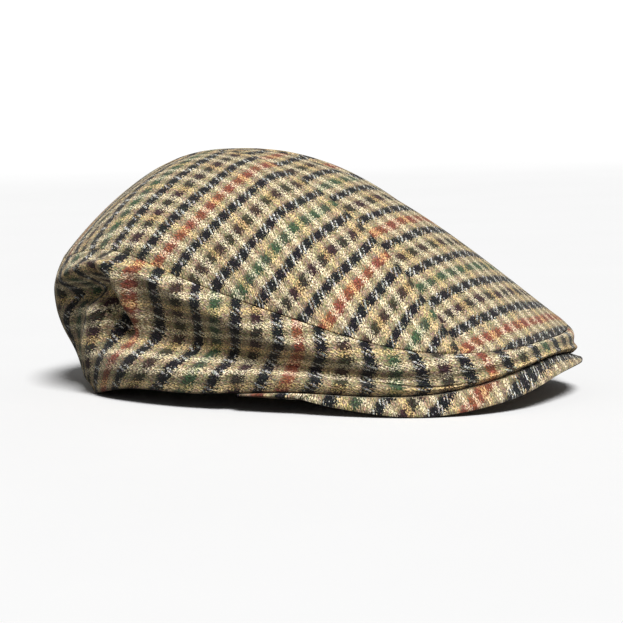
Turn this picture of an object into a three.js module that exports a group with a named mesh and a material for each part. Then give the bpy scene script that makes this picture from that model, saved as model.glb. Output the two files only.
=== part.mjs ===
// A soft wool flat cap: a three-panel top, one side band and a covered peak.
// Units are millimetres. +X is the front (the peak), +Y the wearer's left and +Z up.
// The cap rests on its back rim and on the two low corners of its peak, at Z = 0.
import * as THREE from 'three';

// ---------------------------------------------------------------- driving sizes
const CLOTH_THICKNESS = 2;
const PEAK_THICKNESS = 3;
// The peak's thickness measured straight up, at its sloping edge.
const PEAK_EDGE_RISE = 2.4;
const SEAM_GAP = 0.3;
const PEAK_GAP = 0.5;
// The centre panel of the top: the angle from the middle to its corners in front and behind,
// and how far its long sides bow outward; a minus sign bows them inward.
const CENTRE_PANEL = { front: 23.5, back: 5, bow: -18.5 };
// How rounded the very top of the crown is, as a share of its radius.
const TOP_ROUNDING = 0.15;
const CROWN_TOP = { x: -33.5, y: -1, z: 120.6 };
// Moves the whole cap so that its box is centred on X = Y = 0.
const SHIFT = { x: -6.7, y: 0 };

// Plan outlines, from above. front and back are the reach along X, half is half the width,
// and the powers say how square each end is: 2 is an ellipse.
const RIM = { centre: -2, front: 142, back: -113.5, half: 87.5, frontPower: 2.5, backPower: 2.05 };
const TOP_SEAM = { centre: -4, front: 139, back: -125, half: 91, frontPower: 2.5, backPower: 2.17 };
const HEAD_OPENING = { centre: -2, front: 88, back: -113.5, half: 87.5, frontPower: 2.2, backPower: 2.05 };

// One row for each direction, in degrees from the front; minus is the wearer's right.
// rimZ and seamZ are heights. round and full shape the crown from its top to the seam.
// The band goes out from rim to seam by way of a low bulge, a fold's floor and the lip over it:
// each "out" is in millimetres and each "rise" is a part of the way up from rim to seam.
const DIRECTION_STEP = 30;
const DIRECTION_COLUMNS = [
  'at', 'rimZ', 'seamZ', 'round', 'full', 'bandOut', 'floorRise', 'floorOut', 'lipRise', 'lipOut',
];
const DIRECTIONS = [
  [ -180,  -0.6,  55.5,  2.65,  0.98,  6.0,  0.47,  11.0,  0.73,  12.0],
  [ -150,  -0.8,  67.5,  2.05,  0.97,  1.0,  0.53,   4.0,  0.67,   6.0],
  [ -120,   7.2,  75.4,  2.23,  0.77,  3.0,  0.43,  -9.0,  0.89,   4.5],
  [  -90,   8.0,  62.5,  2.45,  0.67,  2.0,  0.41,  -9.0,  0.81,   5.0],
  [  -60,  11.0,  47.5,  2.47,  0.73,  2.0,  0.33,  -6.0,  0.62,   4.0],
  [  -30,  10.6,  30.7,  1.96,  0.96,  3.3,  0.33,   1.3,  0.56,   4.3],
  [    0,  22.5,  31.0,  1.94,  1.00,  3.0,  0.44,   2.5,  0.70,   2.5],
  [   30,  14.0,  35.0,  1.60,  1.07,  2.6,  0.38,   0.0,  0.60,   2.5],
  [   60,  11.2,  45.8,  2.14,  0.76,  2.0,  0.40,  -5.0,  0.62,   4.0],
  [   90,   8.2,  61.6,  2.40,  0.67,  2.0,  0.44,  -8.0,  0.74,   5.0],
  [  120,   6.6,  74.0,  2.25,  0.77,  4.0,  0.46,  -7.0,  0.80,   6.0],
  [  150,  -0.2,  67.9,  2.26,  0.93,  6.0,  0.52,   0.0,  0.71,   6.2],
].map((row) => Object.fromEntries(DIRECTION_COLUMNS.map((name, column) => [name, row[column]])));

// The band's rough size, for measuring distances on it.
const BAND_SIZE = { radius: 100, height: 70 };

// Creases and dents of the band, each along a line of stations that runs forward or down.
// at is in degrees and up is a part of the way up the band. behind and ahead are the widths
// on the back or lower side and on the front or upper side, and out is how far it stands
// out, all in millimetres. A fold is never narrower here than FINEST_FOLD.
const FINEST_FOLD = 5;
const FOLD_COLUMNS = ['at', 'up', 'behind', 'ahead', 'out'];
const BAND_FOLDS = Object.entries({
  lobe: [[-146, 0.87, 5, 9, 2], [-134, 0.81, 4, 9, 5], [-126, 0.75, 4, 8, 5], [-119, 0.74, 4, 8, 4]],
  hollow: [[-146, 0.78, 5, 4, -4], [-135, 0.7, 5, 4, -12], [-126, 0.65, 5, 4, -9], [-121, 0.62, 4, 4, -3]],
  'back ridge': [
    [-129, 0.62, 6, 6, 2], [-132, 0.56, 6, 7, 5], [-135, 0.46, 6, 7, 6],
    [-138, 0.34, 6, 8, 4], [-142, 0.18, 6, 8, 1],
  ],
  'back facet': [[-143, 0.64, 6, 6, -2], [-146, 0.5, 7, 7, -3], [-150, 0.34, 7, 7, -2]],
  pocket: [[-130, 0.56, 6, 7, 4], [-128, 0.46, 7, 8, 3]],
  'hanging fold': [
    [-117, 0.78, 4, 8, 2], [-115, 0.68, 3, 9, 7], [-115.5, 0.6, 3, 9, 8],
    [-117, 0.52, 3, 8, 5], [-119, 0.44, 4, 7, 2],
  ],
  crease: [
    [-121, 0.68, 3, 2.5, -2], [-120, 0.6, 3, 2.5, -5],
    [-121.5, 0.5, 4, 3, -4], [-124, 0.44, 4, 3, -1],
  ],
  'front fold': [
    [-45, 0.42, 3, 2.5, -0.5], [-38, 0.38, 3, 2.5, -1.8],
    [-31, 0.26, 3, 2.5, -1.8], [-24, 0.22, 3, 2.5, -0.5],
  ],
  'rim corner': [
    [-176, 0.02, 6, 6, -1], [-160, 0.02, 6, 6, -4],
    [-149, 0.02, 6, 6, -3], [-138, 0.02, 6, 6, 0],
  ],
  'rim pucker': [[-76, 0.3, 4, 4, -0.5], [-78, 0.18, 4, 4, -2.5], [-79, 0.02, 4, 4, -2]],
  'left pocket': [[124, 0.64, 6, 6, -3], [134, 0.62, 6, 6, -7], [146, 0.6, 7, 7, -4]],
  'left ridge': [[117, 0.74, 6, 5, 2], [119, 0.56, 7, 4, 6], [123, 0.34, 8, 5, 3]],
  'back dent': [[170, 0.56, 8, 8, -2], [182, 0.54, 8, 8, -5], [194, 0.58, 8, 8, -2]],
}).map(([name, rows]) => ({
  name,
  stations: rows.map((row) => Object.fromEntries(FOLD_COLUMNS.map((column, k) => [column, row[k]]))),
}));

// The peak, by direction from the front: how far its edge stands out past the crown and the
// height of its edge, underneath, and the height of its upper face at the head opening.
const PEAK_END = 76;
// The peak thins to PEAK_TIP over its last PEAK_TAPER degrees at both ends.
const PEAK_TIP = 1.2;
const PEAK_TAPER = 18;
const PEAK_ROWS = [
  { at: -80, out: 0.4, edgeZ: 6.6, innerZ: 8.6 },
  { at: -64, out: 0.7, edgeZ: 8.3, innerZ: 10.0 },
  { at: -48, out: 2.4, edgeZ: 2.2, innerZ: 14.0 },
  { at: -32, out: 4.5, edgeZ: -1.3, innerZ: 18.0 },
  { at: -16, out: 5.0, edgeZ: 4.2, innerZ: 22.0 },
  { at: 0, out: 5.8, edgeZ: 13.4, innerZ: 24.5 },
  { at: 16, out: 5.2, edgeZ: 14.6, innerZ: 22.0 },
  { at: 32, out: 4.4, edgeZ: 7.6, innerZ: 18.0 },
  { at: 48, out: 2.4, edgeZ: -1.3, innerZ: 14.0 },
  { at: 64, out: 0.7, edgeZ: 8.3, innerZ: 10.0 },
  { at: 80, out: 0.4, edgeZ: 6.6, innerZ: 8.6 },
];

// How finely each wall is divided. The band and the crown share their divisions at the seam.
const CROWN_GRID = { along: 26, centre: 8, side: 10 };
const BAND_UP = 18;
const PEAK_GRID = { around: 38, out: 6 };

// ---------------------------------------------------------------- small helpers
const radians = (degrees) => degrees * Math.PI / 180;
const clamp = (value, low, high) => Math.min(high, Math.max(low, value));
const mix = (a, b, share) => a + (b - a) * share;
const smoothStep = (value) => clamp(value, 0, 1) ** 2 * (3 - 2 * clamp(value, 0, 1));

/** A smooth curve through four values, the share running from b to c. */
function throughFour(a, b, c, d, share) {
  const cubic = 3 * (b - c) + d - a;
  const square = 2 * a - 5 * b + 4 * c - d;
  return b + 0.5 * share * (c - a + share * (square + share * cubic));
}

/** A column of DIRECTIONS at any angle, going round without a step. */
function byDirection(column, angle) {
  const count = DIRECTIONS.length;
  const place = (angle * 180 / Math.PI + 180) / DIRECTION_STEP;
  const first = Math.floor(place);
  const value = (index) => DIRECTIONS[(index + 2 * count) % count][column];
  return throughFour(value(first - 1), value(first), value(first + 1), value(first + 2), place - first);
}

/** A smooth curve through rows of a table, with the slopes taken from the neighbours. */
function throughRows(knots, values, place) {
  const last = knots.length - 1;
  const slope = (k) => {
    const low = Math.max(k - 1, 0);
    const high = Math.min(k + 1, last);
    return (values[high] - values[low]) / (knots[high] - knots[low]);
  };
  const at = clamp(place, knots[0], knots[last]);
  let k = 0;
  while (k < last - 1 && at > knots[k + 1]) k += 1;
  const span = knots[k + 1] - knots[k];
  const t = (at - knots[k]) / span;
  const t2 = t * t;
  const t3 = t2 * t;
  return (2 * t3 - 3 * t2 + 1) * values[k] + (t3 - 2 * t2 + t) * span * slope(k)
    + (3 * t2 - 2 * t3) * values[k + 1] + (t3 - t2) * span * slope(k + 1);
}

/** A column of PEAK_ROWS at any angle. */
function byPeakRow(column, angle) {
  const degrees = angle * 180 / Math.PI;
  return throughRows(PEAK_ROWS.map((row) => row.at), PEAK_ROWS.map((row) => row[column]), degrees);
}

/** The point of a plan outline in one direction. */
function outlinePoint(outline, angle) {
  const forward = Math.cos(angle);
  const sideways = Math.sin(angle);
  const reach = forward > 0 ? outline.front - outline.centre : outline.centre - outline.back;
  const power = forward > 0 ? outline.frontPower : outline.backPower;
  const sum = Math.abs(forward / reach) ** power + Math.abs(sideways / outline.half) ** power;
  const radius = sum ** (-1 / power);
  return { x: outline.centre + radius * forward, y: radius * sideways };
}

// ---------------------------------------------------------------- the cap's surfaces
/** Where a place is along one piece of a fold's line, how far off it, and the fold's push there. */
function foldPush(a, b, degrees, up) {
  const perDegree = Math.PI * BAND_SIZE.radius / 180;
  const alongX = (b.at - a.at) * perDegree;
  const alongY = (b.up - a.up) * BAND_SIZE.height;
  const toX = (degrees - a.at) * perDegree;
  const toY = (up - a.up) * BAND_SIZE.height;
  const share = clamp((toX * alongX + toY * alongY) / (alongX ** 2 + alongY ** 2), 0, 1);
  const distance = Math.hypot(toX - share * alongX, toY - share * alongY);
  // 1 on the ahead side and 0 on the behind side, turning smoothly round the ends.
  const side = (alongX * toY - alongY * toX) / Math.hypot(alongX, alongY);
  const ahead = smoothStep(0.5 + side / Math.hypot(distance, 1) / 2);
  const behindWidth = mix(a.behind, b.behind, share);
  const aheadWidth = mix(a.ahead, b.ahead, share);
  const width = Math.max(mix(behindWidth, aheadWidth, ahead), FINEST_FOLD);
  return { distance, push: mix(a.out, b.out, share) * Math.exp(-((distance / width) ** 2)) };
}

/** How far the folds move the band in or out at one place, each by the nearest place on its line. */
function foldOut(angle, up) {
  const degrees = angle * 180 / Math.PI;
  let total = 0;
  for (const { stations } of BAND_FOLDS) {
    const middle = (stations[0].at + stations[stations.length - 1].at) / 2;
    const turned = degrees + 360 * Math.round((middle - degrees) / 360);
    let nearest = { distance: Infinity, push: 0 };
    for (let k = 0; k < stations.length - 1; k += 1) {
      const here = foldPush(stations[k], stations[k + 1], turned, up);
      if (here.distance < nearest.distance) nearest = here;
    }
    total += nearest.push;
  }
  return total;
}

/** The outside of the side band. up runs from the rim at 0 to the top seam at 1. */
function bandPoint(angle, up) {
  const column = (name) => byDirection(name, angle);
  const rim = outlinePoint(RIM, angle);
  const seam = outlinePoint(TOP_SEAM, angle);
  const floorRise = column('floorRise');
  const lipRise = column('lipRise');
  const lipOut = column('lipOut');
  const knots = [0, 0.25, 0.5, 0.75, 0.88, 1];
  const outs = [0, column('bandOut'), column('floorOut'), lipOut, 0.8 * lipOut, 0];
  const rises = [0, 0.52 * floorRise, floorRise, lipRise, mix(lipRise, 1, 0.5), 1];
  const out = throughRows(knots, outs, up) + foldOut(angle, up);
  const rise = throughRows(knots, rises, up);
  const rimZ = Math.max(column('rimZ'), 0);
  return new THREE.Vector3(
    mix(rim.x, seam.x, rise) + out * Math.cos(angle),
    mix(rim.y, seam.y, rise) + out * Math.sin(angle),
    mix(rimZ, column('seamZ'), rise),
  );
}

/** The outside of the crown. across and ahead are a place in a disc whose edge is the top seam. */
function crownPoint(ahead, across) {
  const radius = clamp(Math.hypot(ahead, across), 1e-6, 1);
  const angle = Math.atan2(across, ahead);
  const seam = outlinePoint(TOP_SEAM, angle);
  const seamZ = byDirection('seamZ', angle);
  const power = byDirection('round', angle);
  const lowest = TOP_ROUNDING ** power;
  const fallen = ((radius ** 2 + TOP_ROUNDING ** 2) ** (power / 2) - lowest)
    / ((1 + TOP_ROUNDING ** 2) ** (power / 2) - lowest);
  const height = Math.max(1 - fallen, 0) ** byDirection('full', angle);
  return new THREE.Vector3(
    mix(CROWN_TOP.x, seam.x, radius),
    mix(CROWN_TOP.y, seam.y, radius),
    mix(seamZ, CROWN_TOP.z, height),
  );
}

/**
 * The upper face of the peak: out is -1 at the head opening, 0 under the crown's edge and 1 at
 * its own edge.
 */
function peakPoint(angle, out) {
  const rim = outlinePoint(RIM, angle);
  const rimZ = Math.max(byDirection('rimZ', angle), 0) - PEAK_GAP;
  if (out < 0) {
    const inner = outlinePoint(HEAD_OPENING, angle);
    const innerZ = Math.min(byPeakRow('innerZ', angle), rimZ);
    const inward = -out;
    return new THREE.Vector3(
      mix(rim.x, inner.x, inward),
      mix(rim.y, inner.y, inward),
      mix(rimZ, innerZ, inward),
    );
  }
  const reach = byPeakRow('out', angle) * out;
  const edgeZ = byPeakRow('edgeZ', angle) + PEAK_EDGE_RISE;
  return new THREE.Vector3(
    rim.x + reach * Math.cos(angle),
    rim.y + reach * Math.sin(angle),
    mix(rimZ, Math.min(edgeZ, rimZ), out),
  );
}

// Steps along a surface for measuring its slope: TURN_STEP in radians, SHORT_STEP as a share.
// The folded band takes the longer BAND_STEPS, about half a facet each way.
const TURN_STEP = 0.02;
const SHORT_STEP = 0.01;
const BAND_STEPS = { turn: 0.035, up: 0.03 };
// Shares of the way up the band, and out over the crown, where the edges' own rules begin.
const NEAR_RIM = 0.01;
const NEAR_SEAM = 0.97;
const NEAR_CROWN_EDGE = 0.985;
const BY_THE_SEAM = 0.96;

/** The direction square to a surface, from points a little to each side. */
function squareTo(surface, u, v, stepU, stepV) {
  const alongU = surface(u + stepU, v).sub(surface(u - stepU, v));
  const alongV = surface(u, v + stepV).sub(surface(u, v - stepV));
  return alongU.cross(alongV).normalize();
}

/** The direction square to the band, flat at the rim and shared with the crown at the top seam. */
function bandSquare(angle, up) {
  if (up < NEAR_RIM) return new THREE.Vector3(Math.cos(angle), Math.sin(angle), 0);
  if (up > NEAR_SEAM) return seamSquare(angle);
  const rise = clamp(up, BAND_STEPS.up, 1 - BAND_STEPS.up);
  return squareTo(bandPoint, angle, rise, BAND_STEPS.turn, BAND_STEPS.up);
}

/** The direction square to the crown, shared with the band at the top seam. */
function crownSquare(ahead, across) {
  const radius = Math.hypot(ahead, across);
  if (radius > NEAR_CROWN_EDGE) return seamSquare(Math.atan2(across, ahead));
  return squareTo(crownPoint, ahead, across, SHORT_STEP, SHORT_STEP);
}

/** Half way between the band's and the crown's square directions, so that they meet in a mitre. */
function seamSquare(angle) {
  const band = squareTo(bandPoint, angle, BY_THE_SEAM, TURN_STEP, SHORT_STEP);
  const ahead = BY_THE_SEAM * Math.cos(angle);
  const across = BY_THE_SEAM * Math.sin(angle);
  const crown = squareTo(crownPoint, ahead, across, SHORT_STEP, SHORT_STEP);
  return band.add(crown).normalize();
}

// ---------------------------------------------------------------- walls as closed meshes
/**
 * A closed wall from two grids of points, outer and inner, as outer[i][j] with i along and j across.
 * A ring joins its last row to its first. Points that fall together, as at a pointed end, are one.
 */
function closedWall(outer, inner, isRing) {
  const positions = [];
  const indexByPlace = new Map();
  const triangles = [];
  const indexOf = (point) => {
    const key = [point.x, point.y, point.z].map((value) => value.toFixed(4)).join(',');
    if (!indexByPlace.has(key)) {
      indexByPlace.set(key, positions.length / 3);
      positions.push(point.x + SHIFT.x, point.y + SHIFT.y, point.z);
    }
    return indexByPlace.get(key);
  };
  const addTriangle = (a, b, c) => {
    if (a !== b && b !== c && c !== a) triangles.push(a, b, c);
  };
  const addQuad = (p, q, r, s) => {
    const [a, b, c, d] = [p, q, r, s].map(indexOf);
    addTriangle(a, b, c);
    addTriangle(a, c, d);
  };
  const rows = outer.length;
  const columns = outer[0].length;
  const rowPairs = isRing ? rows : rows - 1;
  for (let i = 0; i < rowPairs; i += 1) {
    const next = (i + 1) % rows;
    for (let j = 0; j < columns - 1; j += 1) {
      addQuad(outer[i][j], outer[next][j], outer[next][j + 1], outer[i][j + 1]);
      addQuad(inner[i][j], inner[i][j + 1], inner[next][j + 1], inner[next][j]);
    }
    const last = columns - 1;
    addQuad(outer[i][0], inner[i][0], inner[next][0], outer[next][0]);
    addQuad(outer[i][last], outer[next][last], inner[next][last], inner[i][last]);
  }
  if (!isRing) {
    const end = rows - 1;
    for (let j = 0; j < columns - 1; j += 1) {
      addQuad(outer[0][j], outer[0][j + 1], inner[0][j + 1], inner[0][j]);
      addQuad(outer[end][j], inner[end][j], inner[end][j + 1], outer[end][j + 1]);
    }
  }
  const geometry = new THREE.BufferGeometry();
  geometry.setAttribute('position', new THREE.Float32BufferAttribute(positions, 3));
  geometry.setIndex(triangles);
  geometry.computeVertexNormals();
  return geometry;
}

/** The same thickness everywhere. */
const clothThickness = () => CLOTH_THICKNESS;

/** The peak's thickness in one direction, thinning towards its two ends. */
function peakThickness(angle) {
  const toEnd = PEAK_END - Math.abs(angle * 180 / Math.PI);
  return mix(PEAK_TIP, PEAK_THICKNESS, smoothStep(toEnd / PEAK_TAPER));
}

/** Two grids of points: the outside, and the inside thicknessAt(place) in from it. */
function wallGrids(places, pointAt, squareAt, thicknessAt) {
  const outer = places.map((row) => row.map(([u, v]) => pointAt(u, v)));
  const inner = places.map((row, i) => row.map(([u, v], j) => (
    outer[i][j].clone().addScaledVector(squareAt(u, v), -thicknessAt(u))
  )));
  return { outer, inner };
}

/** A named mesh in one plain colour. */
function clothMesh(name, geometry, colour) {
  const material = new THREE.MeshStandardMaterial({ color: colour, roughness: 0.95, metalness: 0 });
  const mesh = new THREE.Mesh(geometry, material);
  mesh.name = name;
  return mesh;
}

// ---------------------------------------------------------------- the pieces
/** How far along the top a row is, from 0 in front to 1 behind, closer together at both ends. */
const alongShare = (row) => (1 - Math.cos(Math.PI * row / CROWN_GRID.along)) / 2;

/** The direction where a row of a side panel meets the band. gap turns both ends outward. */
function sideArcAngle(row, gap) {
  const front = radians(CENTRE_PANEL.front) + gap;
  const back = Math.PI - radians(CENTRE_PANEL.back) - gap;
  return mix(front, back, row / CROWN_GRID.along);
}

/** How far outside a straight line the centre panel's long side runs in the crown's disc. */
function sideBow(share) {
  const front = radians(CENTRE_PANEL.front);
  const back = Math.PI - radians(CENTRE_PANEL.back);
  const ahead = mix(Math.cos(front), Math.cos(back), share);
  const straight = mix(Math.sin(front), Math.sin(back), share);
  const bow = CENTRE_PANEL.bow * Math.sin(Math.PI * share);
  const halfWidth = mix(outlinePoint(TOP_SEAM, front).y, outlinePoint(TOP_SEAM, back).y, share) + bow;
  let across = straight;
  for (let turn = 0; turn < 6; turn += 1) {
    const seam = outlinePoint(TOP_SEAM, Math.atan2(across, ahead));
    across = halfWidth / Math.hypot(seam.x - TOP_SEAM.centre, seam.y);
  }
  return across - straight;
}

/** A place on the centre panel: share along it, and across it from -1 to 1. */
function centrePlace(share, across, gap) {
  const front = (radians(CENTRE_PANEL.front) + gap) * across;
  const back = (radians(CENTRE_PANEL.back) + gap) * across;
  const bow = sideBow(share) * across;
  const ahead = mix(Math.cos(front), -Math.cos(back), share);
  return [ahead, mix(Math.sin(front), Math.sin(back), share) + bow];
}

/** The half gap between two top panels, as an angle at the crown's edge. */
const PANEL_GAP_ANGLE = SEAM_GAP / 2 / BAND_SIZE.radius;

/** The directions of the band's columns: those of the crown's edge, all the way round. */
function bandAngles() {
  const { along, centre } = CROWN_GRID;
  const angles = [];
  for (let j = 0; j < centre; j += 1) angles.push(radians(CENTRE_PANEL.front) * (2 * j / centre - 1));
  for (let i = 0; i < along; i += 1) angles.push(sideArcAngle(i, 0));
  for (let j = 0; j < centre; j += 1) angles.push(Math.PI + radians(CENTRE_PANEL.back) * (2 * j / centre - 1));
  for (let i = along; i > 0; i -= 1) angles.push(2 * Math.PI - sideArcAngle(i, 0));
  return angles;
}

/** The side band: one ring of cloth from the rim to the top seam, sewn down on the peak in front. */
function makeSideBand() {
  const places = bandAngles().map((angle) => {
    const height = bandPoint(angle, 1).distanceTo(bandPoint(angle, 0));
    const top = 1 - SEAM_GAP / height;
    return Array.from({ length: BAND_UP + 1 }, (_, j) => [angle, top * j / BAND_UP]);
  });
  const { outer, inner } = wallGrids(places, bandPoint, bandSquare, clothThickness);
  // No part of the inside hangs below the rim.
  inner.forEach((row, i) => {
    for (const point of row) point.z = Math.max(point.z, outer[i][0].z);
  });
  return clothMesh('side_band', closedWall(outer, inner, true), 0xa08c68);
}

/** The middle panel of the top, from the front of the top seam to its back. */
function makeCentrePanel() {
  const places = [];
  for (let i = CROWN_GRID.along; i >= 0; i -= 1) {
    const row = [];
    for (let j = 0; j <= CROWN_GRID.centre; j += 1) {
      row.push(centrePlace(alongShare(i), 2 * j / CROWN_GRID.centre - 1, -PANEL_GAP_ANGLE));
    }
    places.push(row);
  }
  const { outer, inner } = wallGrids(places, crownPoint, crownSquare, clothThickness);
  return clothMesh('crown_center', closedWall(outer, inner, false), 0xa89470);
}

/** A side panel of the top: from the centre panel's edge out to the band, pointed at both ends. */
function makeSidePanel(name, side) {
  const places = [];
  for (let i = CROWN_GRID.along; i >= 0; i -= 1) {
    const onSeam = centrePlace(alongShare(i), 1, PANEL_GAP_ANGLE);
    const arc = sideArcAngle(i, PANEL_GAP_ANGLE);
    const row = [];
    for (let j = 0; j <= CROWN_GRID.side; j += 1) {
      const share = Math.sin(Math.PI / 2 * j / CROWN_GRID.side);
      row.push([mix(onSeam[0], Math.cos(arc), share), mix(onSeam[1], Math.sin(arc), share) * side]);
    }
    places.push(side > 0 ? row : row.reverse());
  }
  const { outer, inner } = wallGrids(places, crownPoint, crownSquare, clothThickness);
  return clothMesh(name, closedWall(outer, inner, false), 0xa48f6c);
}

/** The peak: a stiff crescent covered in cloth, from the head opening out past the crown. */
function makePeak() {
  const places = [];
  for (let i = 0; i <= PEAK_GRID.around; i += 1) {
    const angle = radians(PEAK_END) * (2 * i / PEAK_GRID.around - 1);
    const row = [];
    for (let j = 0; j <= PEAK_GRID.out; j += 1) row.push([angle, 1 - 2 * j / PEAK_GRID.out]);
    places.push(row);
  }
  const upward = (angle, out) => squareTo(peakPoint, angle, out, TURN_STEP, TURN_STEP).negate();
  const { outer, inner } = wallGrids(places, peakPoint, upward, peakThickness);
  for (const row of inner) {
    for (const point of row) point.z = Math.max(point.z, 0);
  }
  return clothMesh('peak', closedWall(outer, inner, false), 0x96815f);
}

const cap = new THREE.Group();
cap.name = 'flat_cap';
cap.add(
  makeCentrePanel(),
  makeSidePanel('crown_right', -1),
  makeSidePanel('crown_left', 1),
  makeSideBand(),
  makePeak(),
);

export default cap;
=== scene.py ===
"""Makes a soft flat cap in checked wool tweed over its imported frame.

Shapes are worked out in millimetres, as surfaces of two parameters, and put into
the meshes in metres. +X is the front, +Y the wearer's left and +Z up.
"""
import math

import bpy
import numpy as np
from bpy.props import FloatProperty, FloatVectorProperty, IntProperty, PointerProperty
from mathutils import Matrix, Vector


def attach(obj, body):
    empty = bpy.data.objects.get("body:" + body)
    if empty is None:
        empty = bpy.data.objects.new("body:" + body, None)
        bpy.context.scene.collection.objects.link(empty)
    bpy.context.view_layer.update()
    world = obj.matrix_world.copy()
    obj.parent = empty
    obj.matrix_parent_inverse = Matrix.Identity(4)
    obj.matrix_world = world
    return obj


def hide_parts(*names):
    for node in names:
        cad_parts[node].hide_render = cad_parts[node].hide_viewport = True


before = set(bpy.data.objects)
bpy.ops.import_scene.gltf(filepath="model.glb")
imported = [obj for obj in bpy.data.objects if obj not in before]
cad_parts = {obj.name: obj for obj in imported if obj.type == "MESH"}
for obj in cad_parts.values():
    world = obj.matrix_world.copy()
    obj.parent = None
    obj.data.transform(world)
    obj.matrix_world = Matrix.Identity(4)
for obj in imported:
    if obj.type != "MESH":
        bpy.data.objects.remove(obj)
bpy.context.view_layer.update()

bl_info = {
    "name": "Tweed flat cap",
    "version": (1, 0, 0),
    "blender": (4, 5, 0),
    "location": "View3D > Sidebar > Flat cap",
    "description": "Builds a soft checked flat cap, its cloth and a plain studio floor",
    "category": "Object",
}

MM = 0.001

# ---------------- the cap's driving sizes
# Plan outlines: the reach along X at front and back, half the width, and how square each end
# is, 2 being an ellipse.
RIM = dict(centre=-2, front=142, back=-113.5, half=87.5, front_power=2.5, back_power=2.05)
TOP_SEAM = dict(centre=-4, front=139, back=-125, half=91, front_power=2.5, back_power=2.17)
HEAD_OPENING = dict(centre=-2, front=88, back=-113.5, half=87.5, front_power=2.2, back_power=2.05)
# The centre panel's corners on the top seam, in degrees from straight ahead and straight back,
# and how far its long sides bow: minus is towards its middle.
CENTRE_PANEL = dict(front=23.5, back=5, bow=-18.5)
# The crown's highest point, and how much of its middle is rounded over there.
CROWN_TOP = (-33.5, -1, 120.6)
TOP_ROUNDING = 0.15
# From the outlines' middle to the frame's.
SHIFT = (-6.7, 0, 0)
# The gaps left between the band and the crown, between two panels, and over the peak.
SEAM_GAP = 0.3
PANEL_GAP = 0.12
PEAK_GAP = 0.5
# The peak reaches PEAK_END degrees to each side and thins to PEAK_TIP over the last PEAK_TAPER
# of them. Its edge stands PEAK_EDGE_RISE over the table's height.
PEAK_END = 76
PEAK_TIP = 1.2
PEAK_TAPER = 18
PEAK_EDGE_RISE = 2.4
# How round the cloth's edges are where two pieces meet in a seam.
SEAM_ROUNDING = 0.35
# The band's rough size, for measuring distances on it.
BAND_RADIUS = 100
BAND_HEIGHT = 70
PANEL_GAP_ANGLE = PANEL_GAP / 2 / BAND_RADIUS
# Each piece's rough length and width, for placing its closer edge rows.
WALL_SPANS = dict(centre=(270, 105), side=(250, 95), band=80, peak=(330, 55))
# Over what distance a wall's square direction turns to plain outward at the rim, and to the
# one that band and crown share at the top seam.
RIM_TURN = 5
SEAM_TURN = 6
# The steepest slope that counts when cloth is measured across a piece.
STEEPEST = 4

# One row for each direction from the front; minus is the wearer's right. round and full shape
# the crown over it. The band goes from rim to seam by way of a low bulge, a fold's floor and
# the lip over it.
DIRECTION_COLUMNS = (
    "at", "rim_z", "seam_z", "round", "full",
    "band_out", "floor_rise", "floor_out", "lip_rise", "lip_out",
)
DIRECTIONS = np.array([
    [-180, -0.6, 55.5, 2.65, 0.98, 6, 0.47, 11, 0.73, 12],
    [-150, -0.8, 67.5, 2.05, 0.97, 1, 0.53, 4, 0.67, 6],
    [-120, 7.2, 75.4, 2.23, 0.77, 3, 0.43, -9, 0.89, 4.5],
    [-90, 8.0, 62.5, 2.45, 0.67, 2, 0.41, -9, 0.81, 5],
    [-60, 11.0, 47.5, 2.47, 0.73, 2, 0.33, -6, 0.62, 4],
    [-30, 10.6, 30.7, 1.96, 0.96, 3.3, 0.33, 1.3, 0.56, 4.3],
    [0, 22.5, 31.0, 1.94, 1.00, 3, 0.44, 2.5, 0.70, 2.5],
    [30, 14.0, 35.0, 1.60, 1.07, 2.6, 0.38, 0, 0.60, 2.5],
    [60, 11.2, 45.8, 2.14, 0.76, 2, 0.40, -5, 0.62, 4],
    [90, 8.2, 61.6, 2.40, 0.67, 2, 0.44, -8, 0.74, 5],
    [120, 6.6, 74.0, 2.25, 0.77, 4, 0.46, -7, 0.80, 6],
    [150, -0.2, 67.9, 2.26, 0.93, 6, 0.52, 0, 0.71, 6.2],
])

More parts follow.
